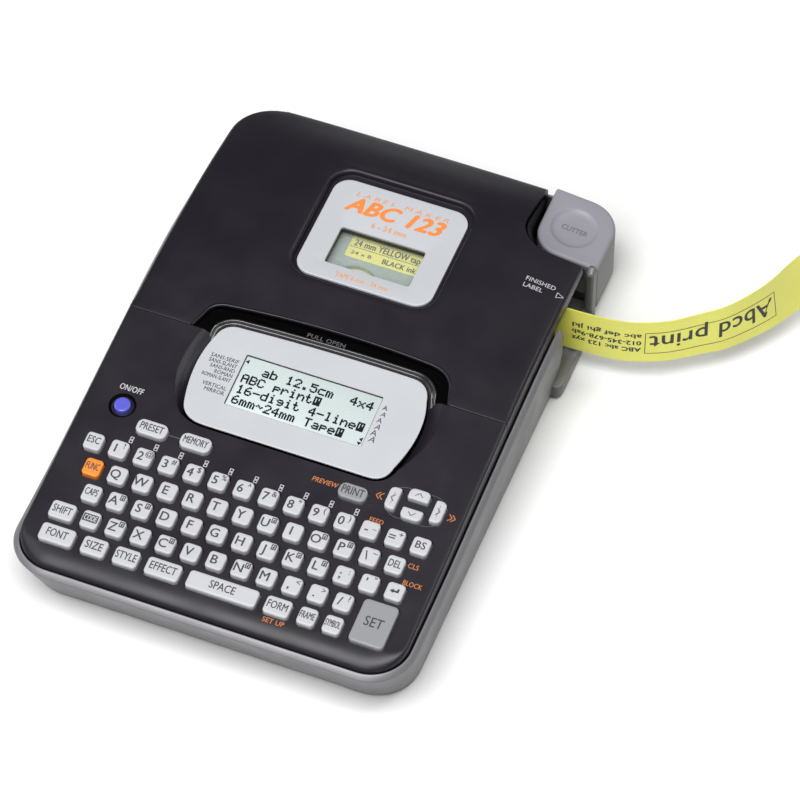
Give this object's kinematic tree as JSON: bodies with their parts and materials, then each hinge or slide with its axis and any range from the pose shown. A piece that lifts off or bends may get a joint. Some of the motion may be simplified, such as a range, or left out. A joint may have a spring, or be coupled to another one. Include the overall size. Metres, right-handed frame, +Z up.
{
  "type": "label maker",
  "caption": "Desktop label maker with a tilted letter keyboard, framed display, hinged tape cover, corner cutter button and tape leaving a side slot.",
  "frame": {"origin": "on the desk, midway between the sides and midway between the front and rear of the case, label tape left out", "axes": "+X to the user's right, +Y to the rear, +Z up"},
  "size_m": [0.2426, 0.2473, 0.0472],
  "materials": {
    "silver_case": "satin silver-grey paint",
    "black_cover": "fine satin texture",
    "silver_panel": "smooth metallic silver paint",
    "grey_cap": "satin",
    "white_key": "satin",
    "grey_key": "satin",
    "orange_key": "satin",
    "blue_key": "smooth, slightly clear",
    "clear_window": "clear plastic",
    "lcd_glass": "polarised display glass",
    "label_film": "laminated film",
    "tape_roll": "wound film",
    "clear_shell": "smoky clear plastic",
    "rubber_black": "matt",
    "inner_plastic": "moulded",
    "bright_steel": "bright",
    "circuit_board": "solder mask",
    "cell_jacket": "printed jacket",
    "gear_plastic": "moulded acetal"
  },
  "bodies": {
    "case": {"bottom_case": "silver_case", "top_case": "black_cover", "inner_frame": "inner_plastic", "hinge_pin": "bright_steel", "display_bezel": "silver_panel", "lcd_module": "lcd_glass", "keypad_mat": "rubber_black", "foot_1": "rubber_black", "foot_2": "rubber_black", "foot_3": "rubber_black", "foot_4": "rubber_black", "battery_1": "cell_jacket", "battery_2": "cell_jacket", "battery_3": "cell_jacket", "battery_4": "cell_jacket", "battery_5": "cell_jacket", "battery_6": "cell_jacket", "main_board": "circuit_board", "cartridge_case": "clear_shell", "label_tape": "label_film", "print_head": "bright_steel", "motor": "bright_steel"},
    "cover": {"tape_cover": "black_cover", "badge_plate": "silver_panel", "cover_window": "clear_window"},
    "cutter": {"cutter_button": "grey_cap"},
    "blade": {"cutter_blade": "bright_steel"},
    "battery_hatch": {"battery_door": "silver_case"},
    "tape_reel": {"tape_spool": "tape_roll"},
    "ribbon_reel": {"ribbon_spool": "inner_plastic"},
    "platen": {"platen_roller": "rubber_black"},
    "idler": {"idler_gear": "gear_plastic"},
    "pinion": {"motor_pinion": "gear_plastic"},
    "key_power_body": {"key_power": "blue_key"},
    "key_preset_body": {"key_preset": "white_key"},
    "key_memory_body": {"key_memory": "white_key"},
    "key_print_body": {"key_print": "grey_key"},
    "key_left_body": {"key_left": "white_key"},
    "key_up_body": {"key_up": "white_key"},
    "key_down_body": {"key_down": "white_key"},
    "key_right_body": {"key_right": "white_key"},
    "key_backspace_body": {"key_backspace": "white_key"},
    "key_func_body": {"key_func": "orange_key"},
    "key_delete_body": {"key_delete": "white_key"},
    "key_enter_body": {"key_enter": "white_key"},
    "key_shift_body": {"key_shift": "white_key"},
    "key_font_body": {"key_font": "white_key"},
    "key_size_body": {"key_size": "white_key"},
    "key_style_body": {"key_style": "white_key"},
    "key_effect_body": {"key_effect": "white_key"},
    "key_space_body": {"key_space": "white_key"},
    "key_form_body": {"key_form": "white_key"},
    "key_frame_body": {"key_frame": "white_key"},
    "key_symbol_body": {"key_symbol": "white_key"},
    "key_set_body": {"key_set": "grey_key"},
    "keys_number_row_body": {"keys_number_row": "white_key"},
    "keys_upper_row_body": {"keys_upper_row": "white_key"},
    "keys_home_row_body": {"keys_home_row": "white_key"},
    "keys_lower_row_body": {"keys_lower_row": "white_key"}
  },
  "joints": [
    {"name": "cover_hinge", "type": "hinge", "parent": "case", "child": "cover", "pos_m": [-0.00075, 0.1145, 0.033], "axis": [-1, 0, 0], "range_deg": [0, 95]},
    {"name": "cutter_press", "type": "slide", "parent": "case", "child": "cutter", "axis": [0, 0, -1], "range_m": [0, 0.004], "stiffness_N_per_m": 700, "springref_m": -0.002},
    {"name": "blade_cut", "type": "slide", "parent": "case", "child": "blade", "axis": [0, -1, 0], "range_m": [0, 0.0038]},
    {"name": "hatch_slide", "type": "slide", "parent": "case", "child": "battery_hatch", "axis": [0, -1, 0], "range_m": [0, 0.03]},
    {"name": "tape_reel_spin", "type": "hinge", "parent": "case", "child": "tape_reel", "pos_m": [-0.00375, 0.0413, 0.0235], "axis": [0, 0, 1], "continuous": true},
    {"name": "ribbon_reel_spin", "type": "hinge", "parent": "case", "child": "ribbon_reel", "pos_m": [0.03025, 0.034, 0.0235], "axis": [0, 0, 1], "continuous": true},
    {"name": "platen_spin", "type": "hinge", "parent": "case", "child": "platen", "pos_m": [0.06025, 0.0569, 0.0215], "axis": [0, 0, 1], "continuous": true},
    {"name": "idler_spin", "type": "hinge", "parent": "case", "child": "idler", "pos_m": [0.06085, 0.04391, 0.0055], "axis": [0, 0, 1], "continuous": true},
    {"name": "pinion_spin", "type": "hinge", "parent": "case", "child": "pinion", "pos_m": [0.06125, 0.03392, 0.0055], "axis": [0, 0, 1], "continuous": true},
    {"name": "key_power_press", "type": "slide", "parent": "case", "child": "key_power_body", "axis": [0, 0.1045, -0.9945], "range_m": [0, 0.0012], "stiffness_N_per_m": 400, "springref_m": -0.0008},
    {"name": "key_preset_press", "type": "slide", "parent": "case", "child": "key_preset_body", "axis": [0, 0.1045, -0.9945], "range_m": [0, 0.0012], "stiffness_N_per_m": 400, "springref_m": -0.0008},
    {"name": "key_memory_press", "type": "slide", "parent": "case", "child": "key_memory_body", "axis": [0, 0.1045, -0.9945], "range_m": [0, 0.0012], "stiffness_N_per_m": 400, "springref_m": -0.0008},
    {"name": "key_print_press", "type": "slide", "parent": "case", "child": "key_print_body", "axis": [0, 0.1045, -0.9945], "range_m": [0, 0.0012], "stiffness_N_per_m": 400, "springref_m": -0.0008},
    {"name": "key_left_press", "type": "slide", "parent": "case", "child": "key_left_body", "axis": [0, 0.1045, -0.9945], "range_m": [0, 0.0012], "stiffness_N_per_m": 400, "springref_m": -0.0008},
    {"name": "key_up_press", "type": "slide", "parent": "case", "child": "key_up_body", "axis": [0, 0.1045, -0.9945], "range_m": [0, 0.0012], "stiffness_N_per_m": 400, "springref_m": -0.0008},
    {"name": "key_down_press", "type": "slide", "parent": "case", "child": "key_down_body", "axis": [0, 0.1045, -0.9945], "range_m": [0, 0.0012], "stiffness_N_per_m": 400, "springref_m": -0.0008},
    {"name": "key_right_press", "type": "slide", "parent": "case", "child": "key_right_body", "axis": [0, 0.1045, -0.9945], "range_m": [0, 0.0012], "stiffness_N_per_m": 400, "springref_m": -0.0008},
    {"name": "key_backspace_press", "type": "slide", "parent": "case", "child": "key_backspace_body", "axis": [0, 0.1045, -0.9945], "range_m": [0, 0.0012], "stiffness_N_per_m": 400, "springref_m": -0.0008},
    {"name": "key_func_press", "type": "slide", "parent": "case", "child": "key_func_body", "axis": [0, 0.1045, -0.9945], "range_m": [0, 0.0012], "stiffness_N_per_m": 400, "springref_m": -0.0008},
    {"name": "key_delete_press", "type": "slide", "parent": "case", "child": "key_delete_body", "axis": [0, 0.1045, -0.9945], "range_m": [0, 0.0012], "stiffness_N_per_m": 400, "springref_m": -0.0008},
    {"name": "key_enter_press", "type": "slide", "parent": "case", "child": "key_enter_body", "axis": [0, 0.1045, -0.9945], "range_m": [0, 0.0012], "stiffness_N_per_m": 400, "springref_m": -0.0008},
    {"name": "key_shift_press", "type": "slide", "parent": "case", "child": "key_shift_body", "axis": [0, 0.1045, -0.9945], "range_m": [0, 0.0012], "stiffness_N_per_m": 400, "springref_m": -0.0008},
    {"name": "key_font_press", "type": "slide", "parent": "case", "child": "key_font_body", "axis": [0, 0.1045, -0.9945], "range_m": [0, 0.0012], "stiffness_N_per_m": 400, "springref_m": -0.0008},
    {"name": "key_size_press", "type": "slide", "parent": "case", "child": "key_size_body", "axis": [0, 0.1045, -0.9945], "range_m": [0, 0.0012], "stiffness_N_per_m": 400, "springref_m": -0.0008},
    {"name": "key_style_press", "type": "slide", "parent": "case", "child": "key_style_body", "axis": [0, 0.1045, -0.9945], "range_m": [0, 0.0012], "stiffness_N_per_m": 400, "springref_m": -0.0008},
    {"name": "key_effect_press", "type": "slide", "parent": "case", "child": "key_effect_body", "axis": [0, 0.1045, -0.9945], "range_m": [0, 0.0012], "stiffness_N_per_m": 400, "springref_m": -0.0008},
    {"name": "key_space_press", "type": "slide", "parent": "case", "child": "key_space_body", "axis": [0, 0.1045, -0.9945], "range_m": [0, 0.0012], "stiffness_N_per_m": 400, "springref_m": -0.0008},
    {"name": "key_form_press", "type": "slide", "parent": "case", "child": "key_form_body", "axis": [0, 0.1045, -0.9945], "range_m": [0, 0.0012], "stiffness_N_per_m": 400, "springref_m": -0.0008},
    {"name": "key_frame_press", "type": "slide", "parent": "case", "child": "key_frame_body", "axis": [0, 0.1045, -0.9945], "range_m": [0, 0.0012], "stiffness_N_per_m": 400, "springref_m": -0.0008},
    {"name": "key_symbol_press", "type": "slide", "parent": "case", "child": "key_symbol_body", "axis": [0, 0.1045, -0.9945], "range_m": [0, 0.0012], "stiffness_N_per_m": 400, "springref_m": -0.0008},
    {"name": "key_set_press", "type": "slide", "parent": "case", "child": "key_set_body", "axis": [0, 0.1045, -0.9945], "range_m": [0, 0.0012], "stiffness_N_per_m": 400, "springref_m": -0.0008},
    {"name": "keys_number_row_press", "type": "slide", "parent": "case", "child": "keys_number_row_body", "axis": [0, 0.1045, -0.9945], "range_m": [0, 0.0012], "stiffness_N_per_m": 900, "springref_m": -0.0008},
    {"name": "keys_upper_row_press", "type": "slide", "parent": "case", "child": "keys_upper_row_body", "axis": [0, 0.1045, -0.9945], "range_m": [0, 0.0012], "stiffness_N_per_m": 900, "springref_m": -0.0008},
    {"name": "keys_home_row_press", "type": "slide", "parent": "case", "child": "keys_home_row_body", "axis": [0, 0.1045, -0.9945], "range_m": [0, 0.0012], "stiffness_N_per_m": 900, "springref_m": -0.0008},
    {"name": "keys_lower_row_press", "type": "slide", "parent": "case", "child": "keys_lower_row_body", "axis": [0, 0.1045, -0.9945], "range_m": [0, 0.0012], "stiffness_N_per_m": 900, "springref_m": -0.0008}
  ],
  "couplings": [
    {"joint": "blade_cut", "follows": "cutter_press", "ratio": 0.95},
    {"joint": "platen_spin", "follows": "tape_reel_spin", "ratio": 3.9423},
    {"joint": "idler_spin", "follows": "tape_reel_spin", "ratio": -4.5994},
    {"joint": "pinion_spin", "follows": "tape_reel_spin", "ratio": 6.899},
    {"joint": "ribbon_reel_spin", "follows": "tape_reel_spin", "ratio": 2.05}
  ]
}
